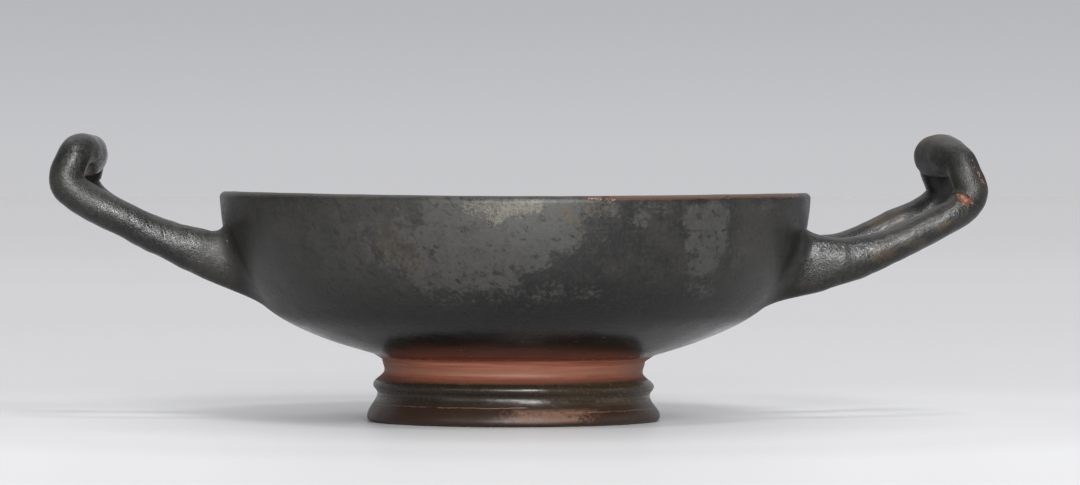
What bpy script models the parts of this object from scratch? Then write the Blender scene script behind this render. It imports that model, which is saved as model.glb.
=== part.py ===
"""Kylix: a footed drinking cup of black-glossed clay with two curled loop handles.

Metres, +Z up. The cup stands on its foot ring at z = 0 and the bowl is turned about +Z.
The handles reach out along +X and -X. Cup, foot and handles are one fired body, so the
part is one closed solid: a lathe grid for the bowl and foot, and for each handle one coil
whose two roots are let into the bowl's outer wall.
"""
import math

import bmesh
import bpy
from mathutils import Vector

MM = 0.001

# Bowl: the outer wall is one cubic curve from the stem to the lip.
WALL_START = (38.1 * MM, 18.0 * MM)
WALL_START_ANGLE = math.radians(16.0)
WALL_START_PULL = 30.5 * MM
LIP_OUTER = (79.9 * MM, 59.6 * MM)
LIP_ANGLE = math.radians(85.4)
LIP_PULL = 25.7 * MM
LIP_THICKNESS = 3.2 * MM
WALL_THICKNESS_LOW = 4.6 * MM
THICKENING_POWER = 0.7
FLOOR_TOP_Z = 16.6 * MM
FLOOR_RINGS = (0.66, 0.33, 0.0)
RIM_WARP = 0.55 * MM
RIM_LEAN = 0.23 * MM
RIM_WARP_FROM_Z = 30.0 * MM

# Foot: the radius swings between these heights by half cosine waves.
STEM_TOP = (35.6 * MM, 16.4 * MM)
STEM_WAIST = (34.95 * MM, 13.5 * MM)
UPPER_TORUS = (38.0 * MM, 9.3 * MM)
GROOVE = (36.9 * MM, 7.2 * MM)
LOWER_TORUS = (39.9 * MM, 1.35 * MM)
REST_OUTER_RADIUS = 38.4 * MM
REST_INNER_RADIUS = 33.2 * MM
REST_EDGE = 0.45 * MM

# The hollow under the foot: (radius, z) from its centre out to the resting ring.
RECESS = (
    (0.0 * MM, 8.6 * MM),
    (13.3 * MM, 8.9 * MM),
    (26.0 * MM, 9.6 * MM),
    (29.5 * MM, 8.4 * MM),
    (31.8 * MM, 1.6 * MM),
)

# Lathe grid.
COLUMNS = 64
WALL_ROWS = 14
WALL_ROW_POWER = 0.92
LIP_ROWS = 4
INNER_ROWS = 8

# Handles: each is one coil. Its centre line runs from one root, out and up, turns up,
# curls over towards the bowl, crosses, and comes back the same way to the other root.
# A station is (distance out, half the arms' spacing, height). The distance is counted
# from the bowl's axis, and beyond the wall it runs along the handle's own direction,
# which is turned by its yaw. The two are hand-made and differ.
ROOT_RADIUS = 77.5 * MM
RIGHT_HANDLE = {
    "yaw": math.radians(12.5),
    "stations": (
        (84.8 * MM, 16.0 * MM, 43.7 * MM),
        (95.2 * MM, 16.8 * MM, 46.4 * MM),
        (109.9 * MM, 17.2 * MM, 53.2 * MM),
        (117.6 * MM, 16.4 * MM, 57.8 * MM),
        (120.7 * MM, 14.8 * MM, 63.2 * MM),
        (119.3 * MM, 12.0 * MM, 69.6 * MM),
        (117.6 * MM, 8.0 * MM, 72.3 * MM),
        (116.4 * MM, 4.0 * MM, 72.4 * MM),
        (116.0 * MM, 0.0 * MM, 71.9 * MM),
    ),
    "arm_radius": 4.3 * MM,
    "knob_radius": 4.9 * MM,
    "root_half_height": 6.2 * MM,
    "root_top": 52.4 * MM,
    "root_bottom": 29.4 * MM,
}
LEFT_HANDLE = {
    "yaw": math.radians(4.5),
    "stations": (
        (84.7 * MM, 16.0 * MM, 45.7 * MM),
        (97.6 * MM, 16.8 * MM, 50.5 * MM),
        (112.0 * MM, 17.2 * MM, 57.8 * MM),
        (118.2 * MM, 16.6 * MM, 61.5 * MM),
        (121.1 * MM, 15.2 * MM, 66.0 * MM),
        (118.8 * MM, 12.0 * MM, 71.1 * MM),
        (116.6 * MM, 8.0 * MM, 72.2 * MM),
        (115.2 * MM, 4.0 * MM, 71.3 * MM),
        (114.8 * MM, 0.0 * MM, 70.4 * MM),
    ),
    "arm_radius": 4.6 * MM,
    "knob_radius": 5.1 * MM,
    "root_half_height": 6.2 * MM,
    "root_top": 54.2 * MM,
    "root_bottom": 29.8 * MM,
}
ROOT_FLARE_LENGTH = 20.0 * MM
ROOT_FLARE_POWER = 1.6
KNOB_FROM = 0.45
KNOB_TO = 0.7
HALF_COIL_RINGS = 18
RING_CROWDING = 0.09
DENSE_STEPS = 400
HALVINGS = 40

# Each root is let into a patch of wall cells; its edge is an ellipse on the wall.
PATCH_COLUMNS = 4
PATCH_FIRST_ROW = 5
PATCH_ROWS = 8
ROOT_OFFSET_COLUMNS = 2
ROOT_HALF_WIDTH_COLUMNS = 1.25
ROOT_FILLET_RINGS = 3
WALL_PULL_TOP = 0.75
WALL_PULL_BOTTOM = 0.35
ARM_PULL = 0.5

GLOSS_COLOUR = (0.045, 0.044, 0.041, 1.0)
GLOSS_ROUGHNESS = 0.32


def cubic(p0, p1, p2, p3, t):
    """Return the point at t on a cubic Bezier curve."""
    u = 1.0 - t
    return p0 * u ** 3 + p1 * 3.0 * u * u * t + p2 * 3.0 * u * t * t + p3 * t ** 3


def polar(length, angle):
    """Return a 2-D vector of the given length and angle."""
    return Vector((math.cos(angle), math.sin(angle))) * length


def outer_wall(s):
    """Return (radius, z) on the bowl's outer wall, s from 0 at the stem to 1 at the lip."""
    start = Vector(WALL_START)
    end = Vector(LIP_OUTER)
    start_handle = start + polar(WALL_START_PULL, WALL_START_ANGLE)
    end_handle = end - polar(LIP_PULL, LIP_ANGLE)
    return cubic(start, start_handle, end_handle, end, s)


def outer_normal(s):
    """Return the outward unit normal of the outer wall in the (radius, z) plane."""
    step = 0.001
    before = outer_wall(max(0.0, s - step))
    after = outer_wall(min(1.0, s + step))
    along = (after - before).normalized()
    return Vector((along.y, -along.x))


def half_wave(start, end, steps):
    """Return points from just after start to end, the radius following half a cosine."""
    points = []
    for index in range(1, steps + 1):
        f = index / steps
        swing = 0.5 - 0.5 * math.cos(math.pi * f)
        radius = start[0] + (end[0] - start[0]) * swing
        points.append(Vector((radius, start[1] + (end[1] - start[1]) * f)))
    return points


def lathe_profile():
    """Return the profile from the underside's centre to the floor's centre.

    The first and last points are on the axis. The second value returned is the index of
    the wall's first row in the profile.
    """
    points = [Vector(point) for point in RECESS]
    points.append(Vector((REST_INNER_RADIUS, 0.0)))
    points.append(Vector((REST_OUTER_RADIUS, 0.0)))
    points.append(Vector((LOWER_TORUS[0] - REST_EDGE, REST_EDGE)))
    points.append(Vector(LOWER_TORUS))
    points += half_wave(LOWER_TORUS, GROOVE, 3)
    points += half_wave(GROOVE, UPPER_TORUS, 2)
    points += half_wave(UPPER_TORUS, STEM_WAIST, 3)
    points += half_wave(STEM_WAIST, STEM_TOP, 1)
    wall_row = len(points)
    for index in range(WALL_ROWS + 1):
        points.append(outer_wall((index / WALL_ROWS) ** WALL_ROW_POWER))
    half_lip = LIP_THICKNESS / 2.0
    lip_centre = Vector(LIP_OUTER) - outer_normal(1.0) * half_lip
    for index in range(1, LIP_ROWS + 1):
        angle = LIP_ANGLE - math.pi / 2.0 + math.pi * index / LIP_ROWS
        points.append(lip_centre + polar(half_lip, angle))
    for index in range(1, INNER_ROWS + 1):
        s = 1.0 - index / INNER_ROWS
        low = (1.0 - s) ** THICKENING_POWER
        thickness = LIP_THICKNESS + (WALL_THICKNESS_LOW - LIP_THICKNESS) * low
        points.append(outer_wall(s) - outer_normal(s) * thickness)
    inner_end = points[-1]
    for f in FLOOR_RINGS:
        rise = (inner_end.y - FLOOR_TOP_Z) * f * f
        points.append(Vector((inner_end.x * f, FLOOR_TOP_Z + rise)))
    return points, wall_row


def column_angle(column):
    """Return the angle of a lathe column; the columns at 0 and half way carry the handles."""
    return 2.0 * math.pi * column / COLUMNS


def place(radius, z, column):
    """Return the point of the cup at a radius, height and column, with the rim's warp and lean."""
    angle = column_angle(column)
    reach = (z - RIM_WARP_FROM_Z) / (LIP_OUTER[1] - RIM_WARP_FROM_Z)
    weight = max(0.0, min(1.0, reach)) ** 2
    lift = weight * (RIM_WARP * math.cos(2.0 * angle) - RIM_LEAN * math.cos(angle))
    return Vector((radius * math.cos(angle), radius * math.sin(angle), z + lift))


def wall_point(column, s):
    """Return a point on the outer wall for a column and s that need not be whole."""
    radius, z = outer_wall(s)
    return place(radius, z, column)


def wall_normal(column, s):
    """Return the outer wall's outward normal at a column and s."""
    normal = outer_normal(s)
    angle = column_angle(column)
    return Vector((normal.x * math.cos(angle), normal.x * math.sin(angle), normal.y))


def spline_point(stations, t):
    """Return a Catmull-Rom point, t from 0 at the first station to 1 at the last."""
    last = len(stations) - 1
    place_on = min(t * last, last - 1e-9)
    index = int(place_on)
    f = place_on - index
    p1 = Vector(stations[index])
    p2 = Vector(stations[index + 1])
    if index > 0:
        p0 = Vector(stations[index - 1])
    else:
        p0 = p1 * 2.0 - p2
    if index + 2 <= last:
        p3 = Vector(stations[index + 2])
    else:
        p3 = Vector((p1.x, -p1.y, p1.z))
    a = p1 * 2.0
    b = (p2 - p0) * f
    c = (p0 * 2.0 - p1 * 5.0 + p2 * 4.0 - p3) * f ** 2
    d = (p1 * 3.0 - p0 - p2 * 3.0 + p3) * f ** 3
    return (a + b + c + d) * 0.5


def ring_fraction(index):
    """Return how far along half a handle a ring sits; rings crowd towards the crossbar."""
    even = index / HALF_COIL_RINGS
    return even + RING_CROWDING * math.sin(math.pi * even)


def coil_line(stations):
    """Return the centre points of half a handle's rings in (out, across, up), and its length."""
    dense = [spline_point(stations, index / DENSE_STEPS) for index in range(DENSE_STEPS + 1)]
    lengths = [0.0]
    for before, after in zip(dense, dense[1:]):
        lengths.append(lengths[-1] + (after - before).length)
    line = []
    cursor = 0
    for index in range(HALF_COIL_RINGS + 1):
        target = lengths[-1] * ring_fraction(index)
        while cursor < DENSE_STEPS - 1 and lengths[cursor + 1] < target:
            cursor += 1
        span = lengths[cursor + 1] - lengths[cursor]
        f = (target - lengths[cursor]) / span
        line.append(dense[cursor].lerp(dense[cursor + 1], f))
    return line, lengths[-1]


def smooth(low, high, value):
    """Return 0 below low, 1 above high and a smooth rise between."""
    f = max(0.0, min(1.0, (value - low) / (high - low)))
    return f * f * (3.0 - 2.0 * f)


def coil_rings(handle, ring_size):
    """Return half a handle's rings of points in (out, across, up), root to crossbar."""
    line, length = coil_line(handle["stations"])
    rings = []
    upward = Vector((0.0, 0.0, 1.0))
    for index, centre in enumerate(line):
        if index == len(line) - 1:
            along = Vector((0.0, -1.0, 0.0))
        else:
            before = line[max(0, index - 1)]
            along = (line[index + 1] - before).normalized()
        upward = (upward - along * upward.dot(along)).normalized()
        side = upward.cross(along)
        fraction = ring_fraction(index)
        knob = smooth(KNOB_FROM, KNOB_TO, fraction)
        radius = handle["arm_radius"] + (handle["knob_radius"] - handle["arm_radius"]) * knob
        flare = max(0.0, 1.0 - length * fraction / ROOT_FLARE_LENGTH) ** ROOT_FLARE_POWER
        half_height = radius + (handle["root_half_height"] - radius) * flare
        ring = []
        for step in range(ring_size):
            angle = 2.0 * math.pi * step / ring_size
            across = side * (radius * math.cos(angle))
            rise = upward * (half_height * math.sin(angle))
            ring.append(centre + across + rise)
        rings.append(ring)
    return rings


def patch_border():
    """Return the wall grid's border points of a root patch, going round once.

    Each entry is (column step from the patch's centre, row step from its first row).
    """
    half_width = PATCH_COLUMNS // 2
    border = []
    for row in range(PATCH_ROWS):
        border.append((half_width, row))
    for column in range(PATCH_COLUMNS):
        border.append((half_width - column, PATCH_ROWS))
    for row in range(PATCH_ROWS):
        border.append((-half_width, PATCH_ROWS - row))
    for column in range(PATCH_COLUMNS):
        border.append((column - half_width, 0))
    return border


def wall_parameter(height):
    """Return s on the outer wall at a height, by halving."""
    low = 0.0
    high = 1.0
    for _ in range(HALVINGS):
        middle = (low + high) / 2.0
        if outer_wall(middle).y < height:
            low = middle
        else:
            high = middle
    return low


def root_ellipse(handle, ring_size):
    """Return the root's edge on the wall as (column step, s), going round once."""
    bottom = wall_parameter(handle["root_bottom"])
    top = wall_parameter(handle["root_top"])
    edge = []
    for step in range(ring_size):
        angle = 2.0 * math.pi * step / ring_size
        across = ROOT_HALF_WIDTH_COLUMNS * math.cos(angle)
        edge.append((across, (bottom + top) / 2.0 + (top - bottom) / 2.0 * math.sin(angle)))
    return edge


class Cup:
    """The cup's mesh, built up ring by ring."""

    def __init__(self):
        self.mesh = bmesh.new()
        self.grid = []

    def add_ring(self, points):
        """Add a ring of vertices."""
        return [self.mesh.verts.new(point) for point in points]

    def bridge(self, lower, upper, flip):
        """Join two rings of equal size with quads."""
        size = len(lower)
        for index in range(size):
            after = (index + 1) % size
            quad = [lower[index], lower[after], upper[after], upper[index]]
            if flip:
                quad.reverse()
            self.mesh.faces.new(quad)

    def lathe(self, points, left_out):
        """Build the bowl and foot without the wall cells that are left out."""
        bottom = self.mesh.verts.new((0.0, 0.0, points[0].y))
        top = self.mesh.verts.new((0.0, 0.0, points[-1].y))
        for radius, z in points[1:-1]:
            ring = [place(radius, z, column) for column in range(COLUMNS)]
            self.grid.append(self.add_ring(ring))
        for column in range(COLUMNS):
            after = (column + 1) % COLUMNS
            self.mesh.faces.new((bottom, self.grid[0][after], self.grid[0][column]))
            self.mesh.faces.new((top, self.grid[-1][column], self.grid[-1][after]))
            for row in range(len(self.grid) - 1):
                if (column, row) in left_out:
                    continue
                lower = self.grid[row]
                upper = self.grid[row + 1]
                self.mesh.faces.new((lower[column], lower[after], upper[after], upper[column]))


def patch_cells(centre_column, first_grid_row):
    """Return the (column, row) cells that a root patch leaves out of the grid."""
    cells = set()
    for step in range(PATCH_COLUMNS):
        column = (centre_column - PATCH_COLUMNS // 2 + step) % COLUMNS
        for row in range(PATCH_ROWS):
            cells.add((column, first_grid_row + row))
    return cells


def add_root(cup, centre_column, first_grid_row, side, edge, arm):
    """Join a root patch's border to the root's edge, and the edge to the arm by a fillet.

    side is +1 for the root on the counter-clockwise side of its handle, else -1. Returns
    the vertices of the arm's first ring.
    """
    border = []
    for across, row in patch_border():
        column = (centre_column + side * across) % COLUMNS
        border.append(cup.grid[first_grid_row + row][column])
    starts = [wall_point(centre_column + side * across, s) for across, s in edge]
    lowest = min(s for _, s in edge)
    height = max(s for _, s in edge) - lowest
    ring = cup.add_ring(starts)
    cup.bridge(border, ring, side < 0)
    for step in range(1, ROOT_FILLET_RINGS + 1):
        points = []
        for (across, s), start, end, beyond in zip(edge, starts, arm[0], arm[1]):
            normal = wall_normal(centre_column + side * across, s)
            reach = end - start
            slide = reach - normal * reach.dot(normal)
            lift = (beyond - end).normalized() * (reach.length * ARM_PULL)
            pull = WALL_PULL_BOTTOM + (WALL_PULL_TOP - WALL_PULL_BOTTOM) * (s - lowest) / height
            f = step / ROOT_FILLET_RINGS
            points.append(cubic(start, start + slide * pull, end - lift, end, f))
        fresh = cup.add_ring(points)
        cup.bridge(ring, fresh, side < 0)
        ring = fresh
    return ring


def add_handle(cup, handle, centre_column, first_grid_row):
    """Add a handle whose plane of symmetry passes through a lathe column."""
    size = len(patch_border())
    start = size - PATCH_ROWS // 2
    turn = column_angle(centre_column)
    anchor = Vector((math.cos(turn), math.sin(turn), 0.0)) * ROOT_RADIUS
    heading = turn + handle["yaw"]
    outward = Vector((math.cos(heading), math.sin(heading), 0.0))
    left = Vector((-math.sin(heading), math.cos(heading), 0.0))
    rings = coil_rings(handle, size)
    edge = root_ellipse(handle, size)
    edge = edge[start:] + edge[:start]
    middle = None
    for side in (1, -1):
        placed = []
        for ring in rings:
            points = []
            for out, across, up in ring[start:] + ring[:start]:
                level = anchor + outward * (out - ROOT_RADIUS) + left * (side * across)
                points.append(level + Vector((0.0, 0.0, up)))
            placed.append(points)
        root_column = centre_column + side * ROOT_OFFSET_COLUMNS
        last = add_root(cup, root_column, first_grid_row, side, edge, placed)
        for points in placed[1:-1]:
            fresh = cup.add_ring(points)
            cup.bridge(last, fresh, side < 0)
            last = fresh
        if middle is None:
            middle = cup.add_ring(placed[-1])
        cup.bridge(last, middle, side < 0)


def build_cup():
    """Build the whole cup as one closed mesh object."""
    points, wall_row = lathe_profile()
    first_grid_row = wall_row - 1 + PATCH_FIRST_ROW
    cup = Cup()
    handles = ((RIGHT_HANDLE, 0), (LEFT_HANDLE, COLUMNS // 2))
    left_out = set()
    for _, column in handles:
        for side in (1, -1):
            left_out |= patch_cells(column + side * ROOT_OFFSET_COLUMNS, first_grid_row)
    cup.lathe(points, left_out)
    for handle, column in handles:
        add_handle(cup, handle, column, first_grid_row)
    mesh = bpy.data.meshes.new("kylix")
    bmesh.ops.recalc_face_normals(cup.mesh, faces=cup.mesh.faces)
    cup.mesh.to_mesh(mesh)
    cup.mesh.free()
    for polygon in mesh.polygons:
        polygon.use_smooth = True
    return bpy.data.objects.new("kylix", mesh)


def gloss_material():
    """Return the fired black gloss of the cup."""
    material = bpy.data.materials.new("black_gloss")
    material.use_nodes = True
    shader = material.node_tree.nodes["Principled BSDF"]
    shader.inputs["Base Color"].default_value = GLOSS_COLOUR
    shader.inputs["Roughness"].default_value = GLOSS_ROUGHNESS
    shader.inputs["Metallic"].default_value = 0.0
    return material


def main():
    """Build the part in an empty scene."""
    for item in list(bpy.data.objects):
        bpy.data.objects.remove(item)
    kylix = build_cup()
    kylix.data.materials.append(gloss_material())
    bpy.context.scene.collection.objects.link(kylix)


main()
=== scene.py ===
"""Looks of the kylix: one black-glossed cup, its floor, its light and its camera.

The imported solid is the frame. The piece made here stands for the node "kylix": the same
curves at a finer grain, with the marks of the wheel, the hand and the years.
"""
import math

import bmesh
import bpy
import numpy as np
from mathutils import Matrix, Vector, noise


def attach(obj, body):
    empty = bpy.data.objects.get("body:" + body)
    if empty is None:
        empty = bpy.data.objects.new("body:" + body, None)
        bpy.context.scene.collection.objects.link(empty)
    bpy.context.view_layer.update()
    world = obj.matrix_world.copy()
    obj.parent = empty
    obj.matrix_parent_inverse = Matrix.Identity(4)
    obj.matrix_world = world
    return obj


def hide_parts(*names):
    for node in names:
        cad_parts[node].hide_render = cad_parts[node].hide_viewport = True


MM = 0.001
FAR_OFF = 1e9

# Bowl: the outer wall is one cubic curve from the stem to the lip, as (radius, height).
WALL_START = np.array((38.1, 18.0)) * MM
WALL_START_ANGLE = math.radians(16.0)
WALL_START_PULL = 30.5 * MM
LIP_OUTER = np.array((79.9, 59.6)) * MM
LIP_ANGLE = math.radians(85.4)
LIP_PULL = 25.7 * MM
LIP_THICKNESS = 3.2 * MM
WALL_THICKNESS_LOW = 4.6 * MM
THICKENING_POWER = 0.7
FLOOR_TOP_Z = 16.6 * MM
RIM_WARP = 0.55 * MM
RIM_LEAN = 0.23 * MM
RIM_WARP_FROM_Z = 30.0 * MM

# The foot stands off the bowl's axis and leans; both fade out towards the bowl, and the lean
# starts above the resting ring.
FOOT_SHIFT = -0.45 * MM
FOOT_LEAN = 0.4 * MM
FOOT_FADE = (16.0 * MM, 24.0 * MM)
FOOT_LEAN_START = (1.0 * MM, 6.0 * MM)

# Foot: the radius swings between these (radius, height) pairs by half cosine waves.
STEM_TOP = (35.6 * MM, 16.4 * MM)
STEM_WAIST = (34.95 * MM, 13.5 * MM)
UPPER_TORUS = (38.05 * MM, 9.55 * MM)
GROOVE = (36.9 * MM, 7.3 * MM)
LOWER_TORUS = (39.7 * MM, 1.35 * MM)
REST_OUTER = 38.4 * MM
REST_EDGE = 0.45 * MM

# The hollow under the foot, from its centre to the resting ring, in millimetres.
RECESS = ((0.0, 8.6), (13.3, 8.9), (26.0, 9.6), (29.5, 8.4), (31.8, 1.6), (33.2, 0.0))

# Grid of the turned body.
COLUMNS = 320
WALL_ROWS = 70
WALL_ROW_POWER = 0.92
LIP_ROWS = 12
INNER_ROWS = 30
FLOOR_ROWS = 14

# Handles: each is one coil. A station is (out, half spacing, height, coil radius), in
# millimetres. The far bend is (middle, half length, shift), the first two along the arm.
ROOT_RADIUS = 77.5 * MM
ROOT_HALF_HEIGHT = 6.2 * MM
RIGHT_HANDLE = {
    "yaw": math.radians(12.5),
    "stations": (
        (84.8, 16.0, 43.7, 4.3), (95.2, 16.8, 46.4, 4.3), (109.9, 17.2, 53.2, 4.4),
        (117.4, 16.8, 57.6, 4.5), (120.5, 15.7, 61.6, 4.8), (119.3, 15.2, 66.0, 4.35),
        (118.4, 13.9, 69.4, 4.3), (117.6, 10.8, 71.0, 4.7), (117.0, 6.0, 71.7, 5.4),
        (116.8, 0.0, 71.9, 5.7),
    ),
    "root_top": 52.4 * MM,
    "root_bottom": 29.4 * MM,
    "far_side": 1,
    "far_bend": (0.62, 0.26, 2.4 * MM),
}
LEFT_HANDLE = {
    "yaw": math.radians(4.5),
    "stations": (
        (84.7, 16.0, 45.7, 4.6), (97.6, 16.8, 50.5, 4.6), (112.0, 17.2, 57.8, 4.6),
        (118.0, 16.8, 61.2, 4.7), (120.9, 16.4, 64.8, 4.8), (120.0, 16.1, 69.0, 4.6),
        (118.6, 15.2, 72.0, 4.5), (117.3, 12.4, 72.8, 4.6), (116.4, 8.0, 72.2, 5.1),
        (115.9, 4.0, 71.8, 5.5), (115.7, 0.0, 71.7, 5.6),
    ),
    "root_top": 54.2 * MM,
    "root_bottom": 29.8 * MM,
    "far_side": -1,
    "far_bend": (0.68, 0.27, -4.0 * MM),
}
ROOT_FLARE_LENGTH = 20.0 * MM
ROOT_FLARE_POWER = 1.6
RING_SPACING = 0.55 * MM
DENSE_STEPS = 1200

# Each root is let into a patch of wall cells; its edge is an ellipse on the wall.
PATCH_COLUMNS = 20
PATCH_FIRST_ROW = 25
PATCH_ROWS = 40
ROOT_OFFSET_COLUMNS = 10
ROOT_HALF_WIDTH_COLUMNS = 7.6
PATCH_RINGS = 6
FILLET_RINGS = 14
WALL_PULL_TOP = 0.75
WALL_PULL_BOTTOM = 0.35
WALL_PULL_SIDE = 0.95
ARM_PULL = 0.5

# Camera.
CAMERA_DISTANCE = 1.275
CAMERA_HEIGHT = 61.35 * MM
CAMERA_LENS = 156.9
CAMERA_YAW = math.radians(0.302)
CAMERA_PITCH = math.radians(0.590)

# Surface colours, linear.
GLOSS_BLACK = (0.0064, 0.0064, 0.0063)
GLOSS_OLIVE = (0.012, 0.0115, 0.0098)
GLOSS_PALE = (0.0255, 0.0251, 0.0233)
GLOSS_BROWN = (0.038, 0.026, 0.0145)
STEM_RED = (0.165, 0.058, 0.033)
STEM_DARK = (0.1, 0.032, 0.019)
STEM_PALE = (0.12, 0.052, 0.033)
STEM_LOW = (0.06, 0.021, 0.013)
RING_BROWN = (0.015, 0.007, 0.0045)
RING_WORN = (0.105, 0.056, 0.035)
WORN_DARK = (0.07, 0.024, 0.012)
WORN_LIGHT = (0.17, 0.085, 0.05)
BARE_ORANGE = (0.068, 0.024, 0.014)
BARE_PALE = (0.135, 0.075, 0.051)
DIRT = (0.02, 0.006, 0.0035)
GLOSS_GLINT = (0.066, 0.06, 0.047)
LIP_BROWN = (0.042, 0.019, 0.0125)
# Painted shade in the pockets under the crossbars and beside the right riser's crease.
POCKET_SHADE = (0.0025, 0.0022, 0.002)
# Painted shade on the lower bowl.
GLOSS_LOW_SHADE = (0.0026, 0.0026, 0.0026)
# Painted shade and a painted reflection of the red stem, on the bowl's underside.
STEM_REFLECTION_SHADE = (0.2, 0.046, 0.026)
FOOT_BROWN = (0.013, 0.009, 0.0058)
FOOT_OLIVE = (0.024, 0.0165, 0.0085)

# Roughness: the gloss's own, what its grains add on average, and what is taken off on the
# coils, on the foot's nose and on the bowl's underside by the stem.
GLOSS_ROUGHNESS = 0.38
GRAIN_ROUGHNESS = 0.18
COIL_SHINE = 0.24
RING_SHINE = 0.12
NECK_SHINE = 0.26
GLOSS_SPECULAR = 0.24

# Noise on the surface: (cells in a millimetre along x, y and z, detail).
GRAINS = {
    "broad": ((0.055,) * 3, 2.0),
    "cloud": ((0.22,) * 3, 3.0),
    "speckle": ((0.9,) * 3, 3.0),
    "fine": ((2.6,) * 3, 2.0),
    "turned": ((0.07, 0.07, 1.5), 4.0),
    "groove": ((0.03, 0.03, 3.2), 2.0),
    "brushed": ((1.3, 1.3, 0.14), 2.0),
}
DASH_TURN = math.radians(-40.0)
DASH_CELLS = (0.4, 0.6, 0.62)
STROKE_TURN = math.radians(25.0)
STROKE_CELLS = (1.6, 0.2, 0.2)

# Soft edges on the surface: the heights in millimetres where each is none and full. A band
# has two. Grains move most of them a little.
STEM_BAND = ((11.35, 11.65), (17.75, 17.45))
STEM_LIGHT_BAND = ((13.4, 14.0), (15.8, 15.2))
STEM_LOW_EDGE = (14.6, 12.6)
# The band of painted shade and reflection on the bowl's underside above the stem.
SHADE_TOP = (22.0, 18.0)
SHADE_BOTTOM = (15.0, 16.0)
NECK_BAND = ((17.0, 18.0), (30.0, 25.0))
# The lower bowl, which is painted darker as shade and made a little rougher.
LOW_BAND = ((17.0, 18.0), (44.0, 30.0))
NOSE_BAND = ((5.0, 6.5), (11.8, 10.8))
FOOT_TOP = (12.0, 11.0)
RING_TOP = (7.6, 4.4)
RUBBED_TOP = (5.4, 4.2)
RUBBED_BOTTOM = (0.6, 1.8)

# The same along x, across the foot.
RUBBED_PATCH = ((-10.0, 4.0), (30.0, 14.0))
OLIVE_SIDE = (-5.0, 24.0)
FLECK_SIDE = (-5.0, 25.0)

# Lines scored into the foot: (height, where along x it is none and full).
SCORED_LINES = ((5.35, (4.0, 2.0)), (4.1, (8.0, 10.0)))
LINE_REACH = 0.16

# The floor: its radius, and its paper's tone at each distance in metres from the cup; the
# shallow dip near 0.16 m is a ring of painted shade. Ahead of the cup it darkens over
# PAPER_FRONT, so that less of it shines in the gloss.
FLOOR_RADIUS = 80.0
PAPER_SCALE = 0.6
PAPER_TINT = (0.995, 0.995, 1.015)
PAPER_ROUGHNESS = 0.4
PAPER_TONES = (
    (0.0, 0.47), (0.13, 0.475), (0.16, 0.45), (0.2, 0.475),
    (0.28, 0.45), (0.33, 0.455), (0.5, 0.475), (0.73, 0.505),
    (1.04, 0.54), (1.48, 0.61), (2.1, 0.705), (3.1, 0.85),
    (5.0, 0.965), (9.9, 1.0), (17.0, 1.0), (80.0, 0.97),
)
PAPER_FRONT = (0.1, 1.2)
PAPER_DARK = (0.25, 0.25, 0.256)

# The surroundings: their radiance, and where along the ray's y or z part each is none and
# full. Behind the cup a wall darkens just above the horizon; ahead only a low band is light.
WORLD_HORIZON = (0.5735, 0.5755, 0.594)
WORLD_WALL = (0.465, 0.468, 0.49)
WORLD_BEHIND = (0.6, 0.6, 0.615)
WORLD_FRONT = (0.07, 0.07, 0.07)
WORLD_SIDE = (0.39, 0.392, 0.405)
WORLD_OVERHEAD = (0.86, 0.86, 0.86)
WALL_EDGE = (0.0, 0.05)
BEHIND_EDGE = (0.07, 0.14)
SIDE_EDGE = (0.05, 0.022)
FRONT_TO_BACK = (-0.1, 0.85)
OVERHEAD_EDGE = (0.5, 0.85)

# The light panels, which all face the cup's middle, in metres and degrees:
# (name, size, radiance, azimuth, elevation, distance).
MIDDLE = (0.0, 0.0, 0.04)
LIGHTS = (
    ("front", (1.33, 1.08), 19.6, -0.5, 8.0, 2.52),
    ("left_fill", (1.44, 1.08), 2.0, -45.0, 10.0, 2.7),
    ("right_fill", (1.44, 1.44), 1.0, 90.0, 10.0, 2.7),
    ("back", (3.6, 1.08), 1.5, 180.0, 62.0, 2.7),
    ("accent", (0.47, 1.26), 39.0, 16.0, 25.0, 2.34),
    ("crest", (0.65, 0.36), 30.0, 12.0, 54.0, 2.34),
)

# The lip's outer edge, in millimetres: its radius, and its height without the warp. Its
# stations stand so many degrees apart.
LIP_LINE_RADIUS = 79.3
LIP_LINE_HEIGHT = 61.0
LIP_LINE_DEGREES = 3.0


def lip_line(first, last):
    """Return stations along the lip's outer edge between two angles in degrees."""
    count = max(2, int(abs(last - first) / LIP_LINE_DEGREES))
    angles = np.radians(np.linspace(first, last, count))
    heights = LIP_LINE_HEIGHT + RIM_WARP / MM * np.cos(2.0 * angles)
    return tuple(zip(LIP_LINE_RADIUS * np.cos(angles), LIP_LINE_RADIUS * np.sin(angles), heights))


# Lines and spots on the surface, in millimetres. The chip is an (x, z) outline seen from the
# front, on the side nearer than CHIP_SIDE.
CRACK = (
    (117.8, -8.3, 61.6), (119.0, -10.1, 61.5), (120.4, -11.0, 61.1), (121.8, -11.3, 60.7),
    (123.1, -11.2, 59.6), (124.6, -10.0, 57.8), (125.0, -8.8, 57.0),
)
CHIP = (
    (118.6, 60.9), (119.3, 59.5), (120.4, 58.3), (121.2, 57.9), (121.8, 58.9),
    (123.3, 58.6), (122.2, 60.3), (121.4, 61.2), (118.8, 61.4),
)
CHIP_SIDE = -6.0
CHIP_MIDDLE = (120.7, -11.7, 59.7)
CREASE = ((122.7, -7.9, 70.5), (123.7, -8.8, 68.3), (125.0, -9.2, 65.9), (126.1, -9.0, 63.8))
RIM_NOTCH = (23.4, -76.3, 60.6)
RIM_CHIP_A = (55.4, -57.6, 60.8)
RIM_CHIP_B = (63.4, -48.5, 61.0)
RIM_CHIP_C = (73.5, -30.3, 61.2)

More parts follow.
